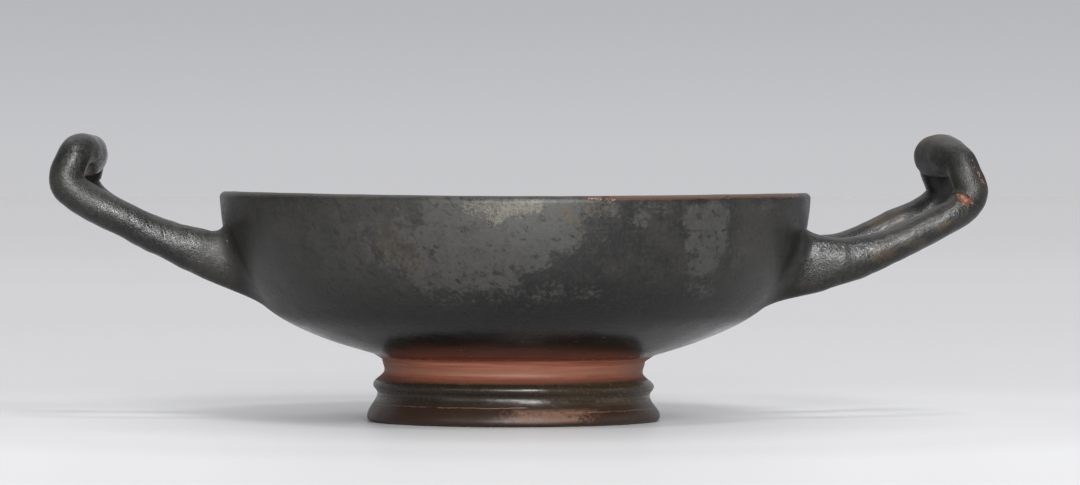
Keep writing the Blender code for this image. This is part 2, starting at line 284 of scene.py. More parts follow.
# Where the mesh is halved: (line, reach).
FINE_ZONES = (
    (CHIP_MIDDLE, 3.4), (CRACK, 2.0), (CHIP_MIDDLE, 2.6), (CREASE, 1.6),
    (RIM_NOTCH, 3.2), (RIM_NOTCH, 2.6), (RIM_CHIP_A, 2.4), (RIM_CHIP_A, 1.8),
    (RIM_CHIP_B, 2.4), (RIM_CHIP_B, 1.8), (RIM_CHIP_C, 2.8), (RIM_CHIP_C, 2.0),
)

# What is missing from the surface, in millimetres: (line, reach, edge, depth).
CARVINGS = (
    (CRACK, 0.14, 0.12, 0.25),
    (CREASE, 0.3, 0.4, 0.12),
    (RIM_NOTCH, 1.1, 0.5, 0.55),
    (RIM_CHIP_A, 0.6, 0.3, 0.3),
    (RIM_CHIP_B, 0.6, 0.3, 0.28),
    (RIM_CHIP_C, 0.9, 0.4, 0.2),
)
CHIP_DEPTH = 0.45
CHIP_EDGE = 0.12

# Hand-made unevenness: (a wave's length, height on the bowl, height added on the coils).
UNEVENNESS = ((9.0, 0.04, 0.13), (3.1, 0.012, 0.05))
ROUGH_WAVE = 0.8
CHIP_WAVE = 1.7

# The coils begin at this radius, and are fully coil in shape and in surface at these. Their
# undersides reach nearer the axis, below these heights.
COIL_START = 80.5
COIL_SHAPE = 84.0
COIL_SURFACE = 83.0
COIL_UNDERSIDE = (46.0, 42.0)
COIL_UNDERSIDE_REACH = 4.0

# What is stored on the vertices for the material: thin gloss in patches and in veils,
# glints, brown gloss, the brown lip, worn edges, painted shade in the pockets and beside
# the crease, dull places, dirt, the bare chip and the tool's strokes.
TINTS = ("pale", "veil", "glint", "brown", "lip", "worn", "shade", "dull", "dirt", "bare", "hatch")

# Where they lie, in millimetres: (tint, strength, reach, edge, line). An (x, z) pair is a
# point on the bowl's near side.
MARKS = (
    ("veil", 0.7, 15, 13, ((-46, 52), (-20, 47))),
    ("veil", 0.42, 14, 12, ((-66, -36, 52), (-55, -52, 50))),
    ("pale", 0.5, 9, 8, ((-38, 49), (-28, 44))),
    ("pale", 0.55, 5, 4.5, ((-29, 55), (-28, 42))),
    ("pale", 0.8, 5, 3.5, ((-20, 57), (13, 56.5))),
    ("pale", 0.8, 5, 3.5, ((-22, 50), (13, 50.5))),
    ("pale", 0.78, 4.5, 3.5, ((-22, 44), (5, 45))),
    ("pale", 0.72, 4.5, 4, ((-24, 39.5), (-2, 40))),
    ("pale", 0.45, 5, 4.5, ((-22, 36), (10, 36))),
    ("pale", 0.44, 4, 4, ((8, 36), (20, 36))),
    ("pale", 0.55, 3, 2.5, ((12, 58), (25, 57))),
    ("pale", 0.6, 1.8, 1.4, ((30, 55), (33, 54.5))),
    ("pale", 0.6, 1.2, 1, (23.5, 49.6)),
    ("pale", 0.82, 4.2, 2.6, ((46, 55), (53, 55))),
    ("pale", 0.82, 4.6, 2.6, ((47.5, 49), (52, 49))),
    ("pale", 0.72, 4, 3, ((47, 43), (50, 43))),
    ("pale", 0.5, 3.5, 3, ((46, 38), (50, 36))),
    ("pale", 0.45, 3, 2.5, ((32, 58), (67, 58))),
    ("pale", 0.42, 5, 4, ((58, 45), (62, 49))),
    ("glint", 0.7, 2.2, 1.8, ((-12, 57.5), (-7, 57.8))),
    ("glint", 1, 2, 1.4, ((-5, 57.2), (5.5, 58.4))),
    ("glint", 0.9, 1.6, 1.2, ((-5.5, 54.6), (-3, 55.6))),
    ("brown", 0.45, 5, 4, ((-33, 49), (-26, 45))),
    ("brown", 0.75, 1.5, 1.3, ((12.6, 57.2), (14.6, 54.6))),
    ("brown", 0.5, 1.3, 1.1, ((16.5, 53.5), (16.5, 51.5))),
    ("brown", 0.6, 1.4, 1.1, ((19, 57.8), (24, 57.2))),
    ("brown", 0.25, 10, 6, ((-70, -37, 56), (-40, -68, 58))),
    ("brown", 0.7, 2.4, 1.8, ((95.5, -16.5, 45), (100, -16.8, 45.5))),
    ("brown", 0.8, 1.2, 1, ((113.6, -13.8, 52.6), (116, -13.6, 53.6))),
    ("brown", 0.5, 1.8, 1.4, ((104.5, -15.2, 48.5), (109.5, -14.9, 47.8))),
    ("brown", 0.6, 2.6, 2, ((98, 20.5, 53), (106, 19.5, 56))),
    ("brown", 1, 2.2, 1.6, ((111, 14, 74.5), (115, 4, 76))),
    ("worn", 0.4, 0.7, 0.6, CREASE),
    ("worn", 0.4, 0.9, 0.5, (72.2, -15.8, 33.5)),
    ("worn", 0.34, 1.1, 0.6, (-76.6, -20.2, 49.6)),
    ("lip", 1, 1, 0.35, lip_line(-72, -19)),
    ("lip", 0.7, 0.9, 0.4, lip_line(-77, -72)),
    ("lip", 0.4, 0.8, 0.4, lip_line(-165, -80)),
    ("lip", 0.6, 0.9, 0.4, lip_line(20, 150)),
    ("worn", 0.4, 0.5, 0.4, lip_line(-24, -20)),
    ("worn", 0.42, 0.55, 0.3, ((18.5, -77.3, 60.1), (22.5, -76.3, 60), (25.5, -75.4, 59.7))),
    ("worn", 0.4, 0.6, 0.4, RIM_NOTCH),
    ("worn", 0.45, 0.5, 0.3, RIM_CHIP_A),
    ("worn", 0.45, 0.5, 0.3, RIM_CHIP_B),
    ("worn", 0.45, 0.7, 0.4, RIM_CHIP_C),
    ("worn", 0.3, 0.8, 0.6, ((112, 17, 66.4), (114.2, 5.7, 65.8), (116.7, -2.6, 65.8))),
    ("worn", 0.4, 2.5, 1, ((-114.9, -6.5, 65.9), (-113.5, -9, 66))),
    ("worn", 0.35, 1.2, 0.8, ((-116.5, 8.2, 66), (-113.5, 8.2, 66))),
    # The shade marks are painted shade: the pockets under both crossbars and the facet beside the
    # crease.
    ("shade", 1, 4, 2, ((119.5, 20.5, 59.5), (120, 20.5, 66.5))),
    ("shade", 0.7, 1.6, 1, ((123.6, -6.5, 71), (125.2, -6.5, 68), (126.2, -6.5, 64.5))),
    ("shade", 0.8, 3.4, 2.4, ((-118, 8.2, 67), (-115.5, 8.2, 65.5))),
    ("dull", 1, 6.2, 2, ((-114.5, -19.9, 59.5), (-118, -19.9, 62.5), (-119.5, -19.8, 64.5))),
    ("dull", 1.3, 6.2, 2, ((122.4, -5.8, 61.5), (122, -5.7, 65.5), (121, -5, 67.5))),
    ("dull", 2, 7.5, 3, ((113.5, 8, 71.5), (113.5, 17, 71.5))),
    ("dull", 1, 5.5, 3, ((-80, -19, 47), (-77.5, -20, 41))),
    ("worn", 0.5, 0.6, 0.4, (-30.7, -22.1, 10)),
    ("worn", 0.45, 0.5, 0.4, (-29.6, -22.1, 7)),
    ("dirt", 1, 0.16, 0.12, CRACK),
    ("dirt", 0.9, 0.6, 0.5, ((76.8, -18.7, 37.6), (76.9, -17.4, 35.7))),
    ("dirt", 0.9, 0.6, 0.5, ((78.9, -19, 39.5), (79.5, -18.4, 37.9), (80.4, -17.4, 36.5))),
    ("hatch", 0.6, 4.5, 3, ((84, -18.5, 43), (91, -18, 45))),
    ("hatch", 0.8, 3.5, 2, ((97, -17, 47), (116, -13.5, 55.5))),
    ("hatch", 0.6, 3.5, 2, ((100, 18, 52), (110, 20.5, 57))),
    ("hatch", 1, 3, 1.5, ((-101, -22.9, 54.5), (-91, -22.1, 49.5))),
    ("hatch", 0.4, 3, 1.5, ((-87.9, -21.7, 48.8), (-81.8, -20.9, 46.4))),
)


def cubic(p0, p1, p2, p3, t):
    """Return the points at t on a cubic Bezier curve."""
    u = 1.0 - t
    return p0 * u ** 3 + p1 * 3.0 * u * u * t + p2 * 3.0 * u * t * t + p3 * t ** 3


def polar(length, angle):
    """Return a 2-D vector of the given length and angle."""
    return np.array((math.cos(angle), math.sin(angle))) * length


def smooth(low, high, value):
    """Return 0 below low, 1 above high and a smooth rise between."""
    f = np.clip((value - low) / (high - low), 0.0, 1.0)
    return f * f * (3.0 - 2.0 * f)


def unit(vectors):
    """Return the vectors at length one."""
    return vectors / np.linalg.norm(vectors, axis=-1, keepdims=True)


def outer_wall(s):
    """Return (radius, z) on the bowl's outer wall, s from 0 at the stem to 1 at the lip."""
    start_handle = WALL_START + polar(WALL_START_PULL, WALL_START_ANGLE)
    end_handle = LIP_OUTER - polar(LIP_PULL, LIP_ANGLE)
    return cubic(WALL_START, start_handle, end_handle, LIP_OUTER, np.asarray(s)[..., None])


def outer_normal(s):
    """Return the outward unit normal of the outer wall in the (radius, z) plane."""
    step = 0.001
    s = np.asarray(s)
    along = outer_wall(np.minimum(1.0, s + step)) - outer_wall(np.maximum(0.0, s - step))
    along = unit(along)
    return np.stack((along[..., 1], -along[..., 0]), axis=-1)


def half_wave(start, end, steps):
    """Return points from just after start to end, the radius following half a cosine."""
    points = []
    for index in range(1, steps + 1):
        f = index / steps
        swing = 0.5 - 0.5 * math.cos(math.pi * f)
        points.append((start[0] + (end[0] - start[0]) * swing, start[1] + (end[1] - start[1]) * f))
    return points


def rounded(points, steps):
    """Return the open chain of points with its inner points' corners rounded off."""
    chain = [points[0]]
    for before, corner, after in zip(points, points[1:], points[2:]):
        enter = (np.asarray(before) + np.asarray(corner)) / 2.0
        leave = (np.asarray(corner) + np.asarray(after)) / 2.0
        for index in range(steps):
            f = (index + 0.5) / steps
            a = enter + (np.asarray(corner) - enter) * f
            b = np.asarray(corner) + (leave - np.asarray(corner)) * f
            chain.append(tuple(a + (b - a) * f))
    chain.append(points[-1])
    return chain


def foot_profile():
    """Return the foot's profile from the underside's centre to the stem's top."""
    recess = [(radius * MM, z * MM) for radius, z in RECESS]
    points = rounded(recess, 4)
    rim = [points[-1], (REST_OUTER, 0.0), (LOWER_TORUS[0] - REST_EDGE * 0.3, REST_EDGE), LOWER_TORUS]
    points = points[:-1] + rounded(rim, 4)
    points += half_wave(LOWER_TORUS, GROOVE, 14)
    points += half_wave(GROOVE, UPPER_TORUS, 8)
    points += half_wave(UPPER_TORUS, STEM_WAIST, 11)
    points += half_wave(STEM_WAIST, STEM_TOP, 7)
    return points


def inner_profile():
    """Return the lip and the inside, from just after the outer wall's top to the centre."""
    points = []
    half_lip = LIP_THICKNESS / 2.0
    lip_centre = LIP_OUTER - outer_normal(1.0) * half_lip
    for index in range(1, LIP_ROWS + 1):
        angle = LIP_ANGLE - math.pi / 2.0 + math.pi * index / LIP_ROWS
        points.append(tuple(lip_centre + polar(half_lip, angle)))
    for index in range(1, INNER_ROWS + 1):
        s = 1.0 - index / INNER_ROWS
        low = (1.0 - s) ** THICKENING_POWER
        thickness = LIP_THICKNESS + (WALL_THICKNESS_LOW - LIP_THICKNESS) * low
        points.append(tuple(outer_wall(s) - outer_normal(s) * thickness))
    end = points[-1]
    for index in range(1, FLOOR_ROWS + 1):
        f = 1.0 - index / FLOOR_ROWS
        points.append((end[0] * f, FLOOR_TOP_Z + (end[1] - FLOOR_TOP_Z) * f * f))
    return points


def place(radius, z, angle):
    """Return points of the cup at radii, heights and angles, with the rim's warp and lean."""
    reach = (z - RIM_WARP_FROM_Z) / (LIP_OUTER[1] - RIM_WARP_FROM_Z)
    weight = np.clip(reach, 0.0, 1.0) ** 2
    lift = weight * (RIM_WARP * np.cos(2.0 * angle) - RIM_LEAN * np.cos(angle))
    foot = 1.0 - smooth(*FOOT_FADE, z)
    lift = lift - FOOT_LEAN * foot * smooth(*FOOT_LEAN_START, z) * np.cos(angle)
    x = radius * np.cos(angle) + FOOT_SHIFT * foot
    return np.stack((x, radius * np.sin(angle), z + lift), axis=-1)


def wall_points(columns, s):
    """Return points on the outer wall for columns and s that need not be whole."""
    wall = outer_wall(s)
    return place(wall[..., 0], wall[..., 1], 2.0 * math.pi * columns / COLUMNS)


def wall_normals(columns, s):
    """Return the outer wall's outward normals at columns and s."""
    normal = outer_normal(s)
    angle = 2.0 * math.pi * columns / COLUMNS
    return np.stack(
        (normal[..., 0] * np.cos(angle), normal[..., 0] * np.sin(angle), normal[..., 1]), axis=-1
    )


class Shell:
    """The cup's vertices and faces, gathered ring by ring."""

    def __init__(self):
        self.points = []
        self.faces = []
        self.count = 0

    def add(self, points):
        """Add vertices and return their numbers."""
        points = np.asarray(points, dtype=float).reshape(-1, 3)
        self.points.append(points)
        self.count += len(points)
        return list(range(self.count - len(points), self.count))

    def face(self, corners, flip=False):
        """Add one face."""
        self.faces.append(tuple(reversed(corners)) if flip else tuple(corners))

    def bridge(self, lower, upper, flip=False):
        """Join two rings; the upper one has as many vertices as the lower, or half."""
        size = len(lower)
        ratio = size // len(upper)
        for index in range(len(upper)):
            after = (index + 1) % len(upper)
            if ratio == 1:
                self.face((lower[index], lower[after], upper[after], upper[index]), flip)
                continue
            a = lower[2 * index]
            b = lower[2 * index + 1]
            c = lower[(2 * index + 2) % size]
            self.face((a, b, upper[index]), flip)
            self.face((b, c, upper[after], upper[index]), flip)

    def fan(self, centre, ring, flip=False):
        """Close a ring onto one vertex."""
        for index, corner in enumerate(ring):
            self.face((centre, corner, ring[(index + 1) % len(ring)]), flip)

    def mesh(self, name):
        """Return the gathered mesh."""
        mesh = bpy.data.meshes.new(name)
        mesh.from_pydata(np.concatenate(self.points).tolist(), [], self.faces)
        mesh.validate()
        return mesh


def build_body(shell, left_out):
    """Build the turned body without the wall cells left out; return the wall's rings by row."""
    angles = 2.0 * math.pi * np.arange(COLUMNS) / COLUMNS
    foot = foot_profile()
    rings = []
    centre = shell.add([(0.0, 0.0, foot[0][1])])[0]
    for radius, z in foot[1:]:
        rings.append(shell.add(place(np.full(COLUMNS, radius), z, angles)))
    wall_first = len(rings)
    for row in range(WALL_ROWS + 1):
        radius, z = outer_wall((row / WALL_ROWS) ** WALL_ROW_POWER)
        rings.append(shell.add(place(np.full(COLUMNS, radius), z, angles)))
    shell.fan(centre, rings[0], flip=True)
    for row in range(len(rings) - 1):
        lower, upper = rings[row], rings[row + 1]
        for column in range(COLUMNS):
            if (column, row - wall_first) in left_out:
                continue
            after = (column + 1) % COLUMNS
            shell.face((lower[column], lower[after], upper[after], upper[column]))
    last = rings[-1]
    inside = inner_profile()
    for index, (radius, z) in enumerate(inside[:-1]):
        if index > LIP_ROWS + 2:
            fresh = shell.add(place(np.full(COLUMNS // 2, radius), z, angles[::2]))
        else:
            fresh = shell.add(place(np.full(COLUMNS, radius), z, angles))
        shell.bridge(last, fresh)
        last = fresh
    top = shell.add([(0.0, 0.0, inside[-1][1])])[0]
    shell.fan(top, last)
    return rings[wall_first:]


def patch_border():
    """Return a root patch's border as (column step from its centre, row step), going round."""
    half = PATCH_COLUMNS // 2
    border = [(half, row) for row in range(PATCH_ROWS)]
    border += [(half - column, PATCH_ROWS) for column in range(PATCH_COLUMNS)]
    border += [(-half, PATCH_ROWS - row) for row in range(PATCH_ROWS)]
    border += [(column - half, 0) for column in range(PATCH_COLUMNS)]
    return border


def patch_cells(centre_column):
    """Return the (column, row) wall cells that a root patch leaves out."""
    cells = set()
    for step in range(PATCH_COLUMNS):
        column = (centre_column - PATCH_COLUMNS // 2 + step) % COLUMNS
        for row in range(PATCH_ROWS):
            cells.add((column, PATCH_FIRST_ROW + row))
    return cells


def wall_parameter(height):
    """Return s on the outer wall at a height."""
    s = np.linspace(0.0, 1.0, 2001)
    return float(np.interp(height, outer_wall(s)[:, 1], s))


def curve_through(stations):
    """Return a smooth dense curve through the stations, as (out, across, up, radius).

    The curve is mirrored at its last station, and only the first half is returned.
    """
    half = np.asarray(stations) * MM
    mirrored = half[-2::-1] * (1.0, -1.0, 1.0, 1.0)
    knots = np.concatenate((half, mirrored))
    chords = np.linalg.norm(np.diff(knots, axis=0), axis=1)
    t = np.concatenate(((0.0,), np.cumsum(chords)))
    count = len(t)
    width = np.diff(t)
    matrix = np.zeros((count, count))
    right = np.zeros((count, 4))
    matrix[0, 0] = matrix[-1, -1] = 1.0
    for index in range(1, count - 1):
        matrix[index, index - 1] = width[index - 1]
        matrix[index, index] = 2.0 * (width[index - 1] + width[index])
        matrix[index, index + 1] = width[index]
        after = (knots[index + 1] - knots[index]) / width[index]
        before = (knots[index] - knots[index - 1]) / width[index - 1]
        right[index] = 6.0 * (after - before)
    bend = np.linalg.solve(matrix, right)
    at = np.linspace(0.0, t[len(half) - 1], DENSE_STEPS + 1)
    cell = np.clip(np.searchsorted(t, at, side="right") - 1, 0, count - 2)
    w = width[cell][:, None]
    a = (t[cell + 1] - at)[:, None] / w
    b = 1.0 - a
    line = a * knots[cell] + b * knots[cell + 1]
    curve = (a ** 3 - a) * bend[cell] + (b ** 3 - b) * bend[cell + 1]
    return line + curve * w * w / 6.0


def coil_rings(handle, ring_size):
    """Return half a handle's rings in (out, across, up), from the root to the crossbar."""
    dense = curve_through(handle["stations"])
    steps = np.linalg.norm(np.diff(dense[:, :3], axis=0), axis=1)
    lengths = np.concatenate(((0.0,), np.cumsum(steps)))
    total = lengths[-1]
    count = int(round(total / RING_SPACING))
    at = np.linspace(0.0, total, count + 1)
    line = np.stack([np.interp(at, lengths, dense[:, axis]) for axis in range(3)], axis=-1)
    radii = np.interp(at, lengths, dense[:, 3])
    angles = 2.0 * math.pi * np.arange(ring_size) / ring_size
    rings = []
    upward = np.array((0.0, 0.0, 1.0))
    for index, centre in enumerate(line):
        if index == count:
            along = np.array((0.0, -1.0, 0.0))
        else:
            along = unit(line[index + 1] - line[max(0, index - 1)])
        upward = unit(upward - along * upward.dot(along))
        side = np.cross(upward, along)
        radius = radii[index]
        flare = max(0.0, 1.0 - at[index] / ROOT_FLARE_LENGTH) ** ROOT_FLARE_POWER
        half_height = radius + (ROOT_HALF_HEIGHT - radius) * flare
        across = np.outer(np.cos(angles), side) * radius
        rise = np.outer(np.sin(angles), upward) * half_height
        rings.append(centre + across + rise)
    return rings


def add_root(shell, wall_rings, centre_column, side, handle, arm):
    """Join a root patch's border to the arm: over the wall to the root's edge, then a fillet."""
    border = patch_border()
    size = len(border)
    start = size - PATCH_ROWS // 2
    ring = []
    for across, row in border:
        column = (centre_column + side * across) % COLUMNS
        ring.append(wall_rings[PATCH_FIRST_ROW + row][column])
    border_columns = np.array([across for across, _ in border], dtype=float)
    border_rows = np.array([PATCH_FIRST_ROW + row for _, row in border]) / WALL_ROWS
    border_s = border_rows ** WALL_ROW_POWER
    bottom = wall_parameter(handle["root_bottom"])
    top = wall_parameter(handle["root_top"])
    angles = 2.0 * math.pi * (np.arange(size) + start) / size
    edge_columns = ROOT_HALF_WIDTH_COLUMNS * np.cos(angles)
    edge_s = (bottom + top) / 2.0 + (top - bottom) / 2.0 * np.sin(angles)
    for index in range(1, PATCH_RINGS + 1):
        f = index / PATCH_RINGS
        columns = border_columns + (edge_columns - border_columns) * f
        s = border_s + (edge_s - border_s) * f
        fresh = shell.add(wall_points(centre_column + side * columns, s))
        shell.bridge(ring, fresh, side < 0)
        ring = fresh
    starts = wall_points(centre_column + side * edge_columns, edge_s)
    normals = wall_normals(centre_column + side * edge_columns, edge_s)
    reach = arm[0] - starts
    slide = reach - normals * np.sum(reach * normals, axis=1, keepdims=True)
    length = np.linalg.norm(reach, axis=1, keepdims=True)
    lift = unit(arm[1] - arm[0]) * length * ARM_PULL
    height = (edge_s - bottom) / (top - bottom)
    pull = (WALL_PULL_BOTTOM + (WALL_PULL_TOP - WALL_PULL_BOTTOM) * height)[:, None]
    pull += (WALL_PULL_SIDE - pull) * (np.cos(angles) ** 2)[:, None]
    for index in range(1, FILLET_RINGS + 1):
        f = index / FILLET_RINGS
        points = cubic(starts, starts + slide * pull, arm[0] - lift, arm[0], f)
        fresh = shell.add(points)
        shell.bridge(ring, fresh, side < 0)
        ring = fresh
    return ring


def far_shift(handle, f):
    """Return how far out the far arm's bend stands beyond the near one's, f along the arm."""
    centre, width, shift = handle["far_bend"]
    return shift * max(0.0, 1.0 - ((f - centre) / width) ** 2) ** 2


def add_handle(shell, wall_rings, handle, centre_column):
    """Add a handle whose two roots lie either side of a column."""
    size = len(patch_border())
    start = size - PATCH_ROWS // 2
    turn = 2.0 * math.pi * centre_column / COLUMNS
    anchor = np.array((math.cos(turn), math.sin(turn), 0.0)) * ROOT_RADIUS
    heading = turn + handle["yaw"]
    outward = np.array((math.cos(heading), math.sin(heading), 0.0))
    left = np.array((-math.sin(heading), math.cos(heading), 0.0))
    rings = coil_rings(handle, size)
    middle = None
    for side in (1, -1):
        placed = []
        for index, ring in enumerate(rings):
            ring = np.roll(ring, -start, axis=0)
            points = anchor + np.outer(ring[:, 0] - ROOT_RADIUS, outward)
            if side == handle["far_side"]:
                points = points + outward * far_shift(handle, index / (len(rings) - 1))
            points = points + np.outer(ring[:, 1] * side, left)
            points[:, 2] += ring[:, 2]
            placed.append(points)
        root_column = centre_column + side * ROOT_OFFSET_COLUMNS
        last = add_root(shell, wall_rings, root_column, side, handle, placed)
        for points in placed[1:-1]:
            fresh = shell.add(points[::2])
            shell.bridge(last, fresh, side < 0)
            last = fresh
        if middle is None:
            middle = shell.add(placed[-1][::2])
        shell.bridge(last, middle, side < 0)


def read(mesh, kind):
    """Return the mesh's vertex positions or normals in millimetres or unit lengths."""
    values = np.empty(len(mesh.vertices) * 3)
    if kind == "co":
        mesh.vertices.foreach_get("co", values)
        return values.reshape(-1, 3) / MM
    mesh.vertex_normals.foreach_get("vector", values)
    return values.reshape(-1, 3)


def stations_of(line):
    """Return a line's stations; an (x, z) pair stands for a point on the bowl's near side."""
    stations = np.atleast_2d(np.asarray(line, dtype=float))
    if stations.shape[1] == 3:
        return stations
    wall = outer_wall(np.linspace(0.0, 1.0, 401)) / MM
    radius = np.interp(stations[:, 1], wall[:, 1], wall[:, 0])
    depth = np.sqrt(radius ** 2 - stations[:, 0] ** 2)
    return np.stack((stations[:, 0], -depth, stations[:, 1]), axis=-1)


def off_outline(points, outline):
    """Return each near-side point's distance to an (x, z) outline, negative inside it."""
    corners = np.asarray(outline)
    flat = points[:, (0, 2)]
    best = np.full(len(points), FAR_OFF)
    inside = np.zeros(len(points), dtype=bool)
    for start, end in zip(corners, np.roll(corners, -1, axis=0)):
        step = end - start
        along = np.clip((flat - start) @ step / step.dot(step), 0.0, 1.0)
        best = np.minimum(best, np.linalg.norm(flat - start - along[:, None] * step, axis=1))
        crosses = (flat[:, 1] < start[1]) != (flat[:, 1] < end[1])
        reach = start[0] + step[0] * (flat[:, 1] - start[1]) / (step[1] if step[1] else 1.0)
        inside ^= crosses & (flat[:, 0] < reach)
    best = np.where(inside, -best, best)
    return np.where(points[:, 1] < CHIP_SIDE, best, FAR_OFF)


def away(points, line):
    """Return each point's distance to a line of stations, or to one spot."""
    stations = stations_of(line)
    best = np.linalg.norm(points - stations[0], axis=1)
    for start, end in zip(stations[:-1], stations[1:]):
        step = end - start
        along = np.clip((points - start) @ step / step.dot(step), 0.0, 1.0)
        best = np.minimum(best, np.linalg.norm(points - start - along[:, None] * step, axis=1))
    return best


def refine(mesh):
    """Halve the mesh's cells beside each break in the surface."""
    for line, reach in FINE_ZONES:
        shape = bmesh.new()
        shape.from_mesh(mesh)
        shape.verts.ensure_lookup_table()
        near = away(read(mesh, "co"), line) < reach
        edges = [e for e in shape.edges if near[e.verts[0].index] and near[e.verts[1].index]]
        bmesh.ops.subdivide_edges(shape, edges=edges, cuts=1, use_grid_fill=True)
        shape.to_mesh(mesh)
        shape.free()


def ripple(points, scale):
    """Return smooth noise at each point, from about -1 to 1; scale is a wave's length."""
    return np.array([noise.noise(Vector(point) / scale) for point in points]) * 2.0


def carve(mesh):
    """Press the hand-made unevenness, the chips, the crack and the crease into the mesh."""
    points = read(mesh, "co")
    normals = read(mesh, "normal")
    radius = np.hypot(points[:, 0], points[:, 1])
    coil = smooth(COIL_START, COIL_SHAPE, radius)
    rise = sum(ripple(points, wave) * (bowl + more * coil) for wave, bowl, more in UNEVENNESS)
    rough = ripple(points, ROUGH_WAVE)
    for line, reach, edge, depth in CARVINGS:
        inside = 1.0 - smooth(reach - edge, reach + edge, away(points, line) + rough * edge * 0.4)
        rise -= depth * inside * (1.0 + 0.3 * rough)
    inside = 1.0 - smooth(-CHIP_EDGE, CHIP_EDGE, off_outline(points, CHIP) + rough * CHIP_EDGE / 2.0)
    rise -= CHIP_DEPTH * inside * (1.0 + 0.25 * ripple(points, CHIP_WAVE))
    points += normals * rise[:, None]
    points[:, 2] = np.maximum(points[:, 2], 0.0)
    mesh.vertices.foreach_set("co", (points * MM).ravel())
    mesh.update()


def paint(mesh):
    """Store on the vertices where each tint of the surface lies."""
    points = read(mesh, "co")
    radius = np.hypot(points[:, 0], points[:, 1])
    layers = {name: np.zeros(len(points)) for name in TINTS}
    underside = COIL_UNDERSIDE_REACH * smooth(*COIL_UNDERSIDE, points[:, 2])
    layers["coil"] = smooth(COIL_START, COIL_SURFACE, radius + underside)
    for name, strength, reach, edge, line in MARKS:
        value = strength * (1.0 - smooth(reach - edge, reach + edge, away(points, line)))
        layers[name] = np.maximum(layers[name], value)
    layers["bare"] = 1.0 - smooth(-CHIP_EDGE, CHIP_EDGE, off_outline(points, CHIP))
    for name, values in layers.items():
        layer = mesh.attributes.new(name, "FLOAT", "POINT")
        layer.data.foreach_set("value", values)


def build_cup():
    """Build the cup as one closed mesh object."""
    shell = Shell()
    handles = ((RIGHT_HANDLE, 0), (LEFT_HANDLE, COLUMNS // 2))
    left_out = set()
    for _, column in handles:
        for side in (1, -1):
            left_out |= patch_cells(column + side * ROOT_OFFSET_COLUMNS)
    wall_rings = build_body(shell, left_out)
    for handle, column in handles:
        add_handle(shell, wall_rings, handle, column)
    mesh = shell.mesh("kylix_visual")
    refine(mesh)
    carve(mesh)
    paint(mesh)
    mesh.polygons.foreach_set("use_smooth", [True] * len(mesh.polygons))
    return bpy.data.objects.new("kylix_visual", mesh)


class Nodes:
    """A short way to write a node tree."""

    def __init__(self, tree):
        self.tree = tree

    def add(self, kind, inputs=None, **settings):
        """Add a node, set its settings and its inputs, and return it."""
        node = self.tree.nodes.new(kind)
        for name, value in settings.items():
            setattr(node, name, value)
        for name, value in (inputs or {}).items():
            self.feed(node.inputs[name], value)
        return node

    def feed(self, socket, value):
        """Link the value to the socket if it is a socket too, or else set it."""
        if isinstance(value, bpy.types.NodeSocket):
            self.tree.links.new(value, socket)
        else:
            socket.default_value = value

    def math(self, operation, a, b):
        """Return the result of a math node."""
        return self.add("ShaderNodeMath", {0: a, 1: b}, operation=operation).outputs[0]

    def most(self, a, b):
        """Return the larger of two values."""
        return self.math("MAXIMUM", a, b)

    def times(self, *factors):
        """Return the product of the values."""
        result = factors[0]
        for factor in factors[1:]:
            result = self.math("MULTIPLY", result, factor)
        return result

    def total(self, *terms):
        """Return the sum of the values, each times its weight."""
        result = None
        for value, weight in terms:
            part = self.times(value, weight)
            result = part if result is None else self.math("ADD", result, part)
        return result

    def rise(self, value, low, high):
        """Return a smooth step of the value from low to high, or down where low is the larger."""
        node = self.add(
            "ShaderNodeMapRange",
            {"Value": value, "From Min": low, "From Max": high},
            interpolation_type="SMOOTHSTEP",
        )
        return node.outputs["Result"]

    def between(self, value, start, end):
        """Return one between two soft edges, each as the pair where it is none and full."""
        return self.times(self.rise(value, *start), self.rise(value, *end))

    def stretch(self, vector, scale):
        """Return the vector times the scale."""
        node = self.add("ShaderNodeVectorMath", {0: vector, 1: scale}, operation="MULTIPLY")
        return node.outputs["Vector"]

    def grain(self, vector, cells, detail):
        """Return noise, from about 0.2 to 0.8, of so many cells a unit along each axis."""
        node = self.add(
            "ShaderNodeTexNoise",
            {"Vector": self.stretch(vector, cells), "Scale": 1.0, "Detail": detail},
        )
        return node.outputs["Fac"]

    def mix(self, factor, a, b):
        """Return colour a mixed with colour b; each is a socket, or red, green and blue."""
        colours = [(*colour, 1.0) if isinstance(colour, tuple) else colour for colour in (a, b)]
        node = self.add("ShaderNodeMix", {0: factor, 6: colours[0], 7: colours[1]}, data_type="RGBA")
        return node.outputs[2]


